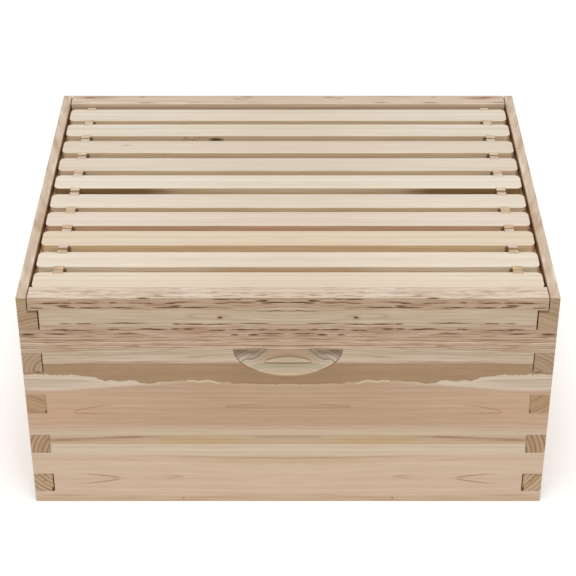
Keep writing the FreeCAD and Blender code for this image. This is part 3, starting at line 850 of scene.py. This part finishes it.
def bark_side(g, at, colour):
    """Specks of bark round a knot on the front side of a bar, left of its middle."""
    near = g.mul(at.near, g.step(at.x, 0.001, -0.001))
    specks = g.grain(at.out, at.z, 420, 700, 3, detail=2)
    patch = g.mul(near, g.between(at.out, 0.073, 0.112, 0.006), g.step(specks, -0.1, 0.5))
    colour = g.cover(colour, pigment(96, 74, 52, GAP_LIGHT), patch, 0.75)
    blob = g.step(g.spots(at.out, at.z, [(78, 233.5, 9.0, 4.5)]), 1.2, 0.4)
    return g.cover(colour, pigment(70, 46, 30, GAP_LIGHT), near, blob)


OWN_MARKS = {"frame_02": brown_side, "frame_06": dark_side, "frame_08": smudge, "frame_09": bark_side}


def end_bar_marks(g, at, colour):
    """The shaded sides of an end bar: those facing the next frames, and the inner one."""
    lit = g.step(at.z, 0.233, 0.2365)
    shadow = g.mix(lit, pigment(96, 68, 42, GAP_LIGHT), pigment(172, 137, 100, GAP_LIGHT))
    colour = g.cover(colour, shadow, at.sideways, at.upright, 0.55)
    inner = g.step(g.size(at.x), END_BAR_INNER + 0.9 * MM, END_BAR_INNER + 0.3 * MM)
    inner = g.mul(inner, g.step(at.z, 0.218, 0.228), at.upright)
    return g.cover(colour, pigment(84, 60, 40, GAP_LIGHT), inner, 0.75)


def frame_woods(name, order):
    """The woods of one frame's top bar, end bars and bottom bar."""
    top_look, side_look, end_look, depth_shade = BAR_LOOKS[order]
    seed = 40 + 2.3 * order
    side = -1 if order % 2 else 1
    top_colour = pigment(*top_look, TOP_LIGHT)
    side_colour = pigment(*side_look, GAP_LIGHT)
    end_colour = pigment(*end_look, TOP_LIGHT)
    top = wood(name + "_top_bar", shaded(side_colour, 1.3), side_colour,
               round_heart(0.25 * side, 0.08), tone=0.3, broad=0.4, lines=0.6, fibre=0.35, run=1.6,
               seed=seed, mirror=True, wander=0.6, marks=bar_marks(name, depth_shade), end_shade=0.86,
               top=(shaded(top_colour, 1.05), shaded(top_colour, 0.93)), stain=(0.9, 0.85, 0.79),
               rough=0.55)
    ends = wood(name + "_end_bar", end_colour, shaded(end_colour, 0.8),
                round_heart(0.0, 0.3 * side, 0.0, 0.01), along="Z", tone=0.3, broad=0.3,
                seed=seed + 1, wander=0.7, marks=end_bar_marks, end_shade=0.95,
                top=(shaded(end_colour, 1.06), shaded(end_colour, 0.8)), rough=0.58)
    bottom = wood(name + "_bottom_bar", shaded(end_colour, 0.95), shaded(end_colour, 0.8),
                  round_heart(0.2 * side, 0.15), tone=0.3, broad=0.3, seed=seed + 2, wander=0.7,
                  end_shade=0.86, rough=0.58)
    return top, ends, bottom


# ---------------- pieces


def placed(name, data):
    """A new object, put in the scene."""
    made = bpy.data.objects.new(name, data)
    bpy.context.scene.collection.objects.link(made)
    return made


@contextmanager
def opened(mesh):
    """A mesh opened for editing, which keeps its changes."""
    shape = bmesh.new()
    shape.from_mesh(mesh)
    yield shape
    shape.to_mesh(mesh)
    shape.free()


def settle(piece):
    """Applies a piece's modifiers."""
    graph = bpy.context.evaluated_depsgraph_get()
    settled = bpy.data.meshes.new_from_object(piece.evaluated_get(graph))
    piece.modifiers.clear()
    piece.data = settled


def scoop_cutter(side):
    """The space that a handhold's cutter leaves: the lower half of a large flat ellipsoid."""
    radius = (SCOOP_HALF_WIDTH ** 2 + SCOOP_CUT ** 2) / (2 * SCOOP_CUT)
    wide = radius + SCOOP_SPARE
    tall = radius * SCOOP_DROP / SCOOP_HALF_WIDTH + SCOOP_SPARE
    reach = (HALF_WIDTH if side in ("front", "back") else HALF_LENGTH) + radius - SCOOP_CUT
    shape = bmesh.new()
    bmesh.ops.create_uvsphere(shape, u_segments=SCOOP_SIDES, v_segments=SCOOP_SIDES // 2, radius=1)
    everything = shape.verts[:] + shape.edges[:] + shape.faces[:]
    bmesh.ops.bisect_plane(shape, geom=everything, plane_co=(0, 0, 0), plane_no=(0, 0, 1), clear_outer=True)
    rim = [edge for edge in shape.edges if edge.is_boundary]
    bmesh.ops.contextual_create(shape, geom=rim)
    bmesh.ops.recalc_face_normals(shape, faces=shape.faces)
    shape.transform(Matrix.Translation((0, 0, SCOOP_LEDGE + SCOOP_SPARE))
                    @ Matrix.Rotation(math.radians(SCOOP_TURNS[side]), 4, "Z")
                    @ Matrix.Translation((0, -reach, 0))
                    @ Matrix.Diagonal((wide, wide, tall, 1)))
    mesh = bpy.data.meshes.new(side + "_cutter")
    shape.to_mesh(mesh)
    shape.free()
    return placed(side + "_cutter", mesh)


def tidy_mesh(node, shift):
    """A copy of a CAD node's mesh, with whole faces and no doubled points."""
    mesh = frame["nodes"][node].data.copy()
    mesh.materials.clear()
    with opened(mesh) as shape:
        bmesh.ops.remove_doubles(shape, verts=shape.verts, dist=DOUBLED)
        bmesh.ops.dissolve_limit(shape, angle_limit=NEARLY_FLAT, verts=shape.verts, edges=shape.edges)
        if shift:
            for vertex in shape.verts:
                shift(vertex.co)
    return mesh


def break_edges(piece, weigh):
    """Rounds a piece's sharp outside edges, each by weigh(edge) times the edge break."""
    with opened(piece.data) as shape:
        weights = shape.edges.layers.float.new("bevel_weight_edge")
        for edge in shape.edges:
            sharp = edge.is_convex and edge.calc_face_angle(0.0) > SHARP_OVER
            edge[weights] = weigh(edge) if sharp else 0.0
    bevel = piece.modifiers.new("bevel", "BEVEL")
    bevel.limit_method = "WEIGHT"
    bevel.width = EDGE_BREAK
    bevel.segments = 2
    bevel.use_clamp_overlap = False
    settle(piece)


def smooth_curves(piece):
    """Shades a piece's curved faces smooth, and leaves its flat ones and sharp edges crisp."""
    with opened(piece.data) as shape:
        for face in shape.faces:
            face.smooth = max(abs(value) for value in face.normal) < ALONG_AXIS
        for edge in shape.edges:
            edge.smooth = edge.calc_face_angle(0.0) < SMOOTH_BELOW


def sawn_piece(node, material, weigh, shift=None, cutter=None):
    """A piece with the CAD node's own shape, its handhold smooth and its edges broken."""
    piece = placed(node + "_wood", tidy_mesh(node, shift))
    if cutter:
        cut = piece.modifiers.new("scoop", "BOOLEAN")
        cut.operation = "DIFFERENCE"
        cut.solver = "EXACT"
        cut.object = cutter
        settle(piece)
    break_edges(piece, weigh)
    smooth_curves(piece)
    piece.data.materials.clear()
    piece.data.materials.append(material)
    for face in piece.data.polygons:
        face.material_index = 0
    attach(piece, frame["nodes"][node]["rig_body"])
    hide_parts(node)


def board_edge(node):
    """How much to break a board's edges: glued ones not at all, those in a joint a little."""
    low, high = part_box(node)

    def weigh(edge):
        middle = (edge.verts[0].co + edge.verts[1].co) / 2
        level = abs(edge.verts[0].co.z - edge.verts[1].co.z) < CLOSE
        under = low.z > CLOSE and abs(middle.z - low.z) < CLOSE
        over = high.z < RIM - CLOSE and abs(middle.z - high.z) < CLOSE
        if level and (under or over):
            return 0.0
        x, y = abs(middle.x), abs(middle.y)
        in_corner = x > FINGER_INNER - CLOSE and y > HALF_WIDTH - THICKNESS - CLOSE
        at_corner = x > HALF_LENGTH - CLOSE and y > HALF_WIDTH - CLOSE
        at_end = middle.z < CLOSE or middle.z > RIM - CLOSE
        return JOINT_BREAK if in_corner and not at_corner and not at_end else 1.0
    return weigh


def frame_edge(edge):
    """How much to break a frame's edges: all alike."""
    return FRAME_BREAK


FINGER_GAPS = (0.0007, 0.0002, 0.0002, 0.0005, 0.0009)    # the seams beside the fingers, upwards
FINGER_PITCH = 0.04875
FINGER_START = 0.0241    # height of the lowest finger's middle
FINGER_REACH = 0.0115    # a finger's points are nearer than this to the height of its middle
THIN_WALL_GAP = 0.0008   # the seam beside the thin wall over the rabbet
UNDER_RIM_GAP = 0.0003   # and the one under the long board's rim, level with the rabbet


def open_seams(point):
    """Leaves the long boards a little short of the end boards at the corners."""
    side = 1 if point.x > 0 else -1
    reach = abs(point.x)
    if reach > FINGER_INNER - CLOSE and abs(point.z - RABBET_FLOOR) < CLOSE:
        point.z += UNDER_RIM_GAP
    if abs(reach - FINGER_INNER) < CLOSE:
        for order, gap in enumerate(FINGER_GAPS):
            if abs(point.z - FINGER_START - order * FINGER_PITCH) < FINGER_REACH:
                point.x -= side * gap
    elif abs(reach - THIN_WALL_INNER) < CLOSE:
        point.x -= side * THIN_WALL_GAP


def make_boards():
    woods = {"front": front_woods(), "back": back_woods(), "left": end_woods("left", -1),
             "right": end_woods("right", 1)}
    for side in SIDES:
        long_side = side in ("front", "back")
        shift = open_seams if long_side else None
        cutter = scoop_cutter(side)
        for level in LEVELS:
            node = "%s_board_%s" % (side, level)
            sawn_piece(node, woods[side][level], board_edge(node), shift,
                       cutter if level in SCOOPED[side] else None)
        bpy.data.objects.remove(cutter)


def make_frames():
    for order, name in enumerate(FRAMES):
        top, ends, bottom = frame_woods(name, order)
        sawn_piece(name + "_top_bar", top, frame_edge)
        sawn_piece(name + "_bottom_bar", bottom, frame_edge)
        for side in ("left", "right"):
            sawn_piece("%s_end_bar_%s" % (name, side), ends, frame_edge)


# ---------------- stage


FLOOR_SIZE = 40
FLOOR_COLOUR = (0.94, 0.935, 0.93, 1)
FLOOR_ROUGHNESS, FLOOR_GLOSS = 0.9, 0.1
SKY_STRENGTH = 0.25
LAMP_STRENGTH = 3.0
LAMP_SPREAD = math.radians(50)
LAMP_TILT = math.radians(13)      # the lamp leans to the front by this much
CAMERA_PLACE = (0, -1.5297, 1.1223)
CAMERA_DIP = math.radians(33.2246)
LENS, SENSOR = 107.3, 36          # in millimetres


def make_floor():
    bpy.ops.mesh.primitive_plane_add(size=FLOOR_SIZE, location=(0, 0, LOW.z))
    floor = bpy.context.object
    floor.name = "floor"
    g = Graph("floor")
    g.feed(g.shader, {
        "Base Color": FLOOR_COLOUR, "Roughness": FLOOR_ROUGHNESS, "Specular IOR Level": FLOOR_GLOSS})
    floor.data.materials.append(g.material)


def make_lights():
    world = bpy.data.worlds.new("studio")
    bpy.context.scene.world = world
    world.use_nodes = True
    background = world.node_tree.nodes["Background"]
    background.inputs["Color"].default_value = (1, 1, 1, 1)
    background.inputs["Strength"].default_value = SKY_STRENGTH
    lamp = bpy.data.lights.new("overhead", "SUN")
    lamp.energy = LAMP_STRENGTH
    lamp.angle = LAMP_SPREAD
    placed("overhead", lamp).rotation_euler = (LAMP_TILT, 0, 0)


def make_camera():
    data = bpy.data.cameras.new("camera")
    data.lens, data.sensor_width = LENS, SENSOR
    camera = placed("camera", data)
    camera.location = CAMERA_PLACE
    camera.rotation_euler = (math.pi / 2 - CAMERA_DIP, 0, 0)
    bpy.context.scene.camera = camera
    bpy.context.scene.view_settings.view_transform = "Standard"


make_boards()
make_frames()
make_floor()
make_lights()
make_camera()
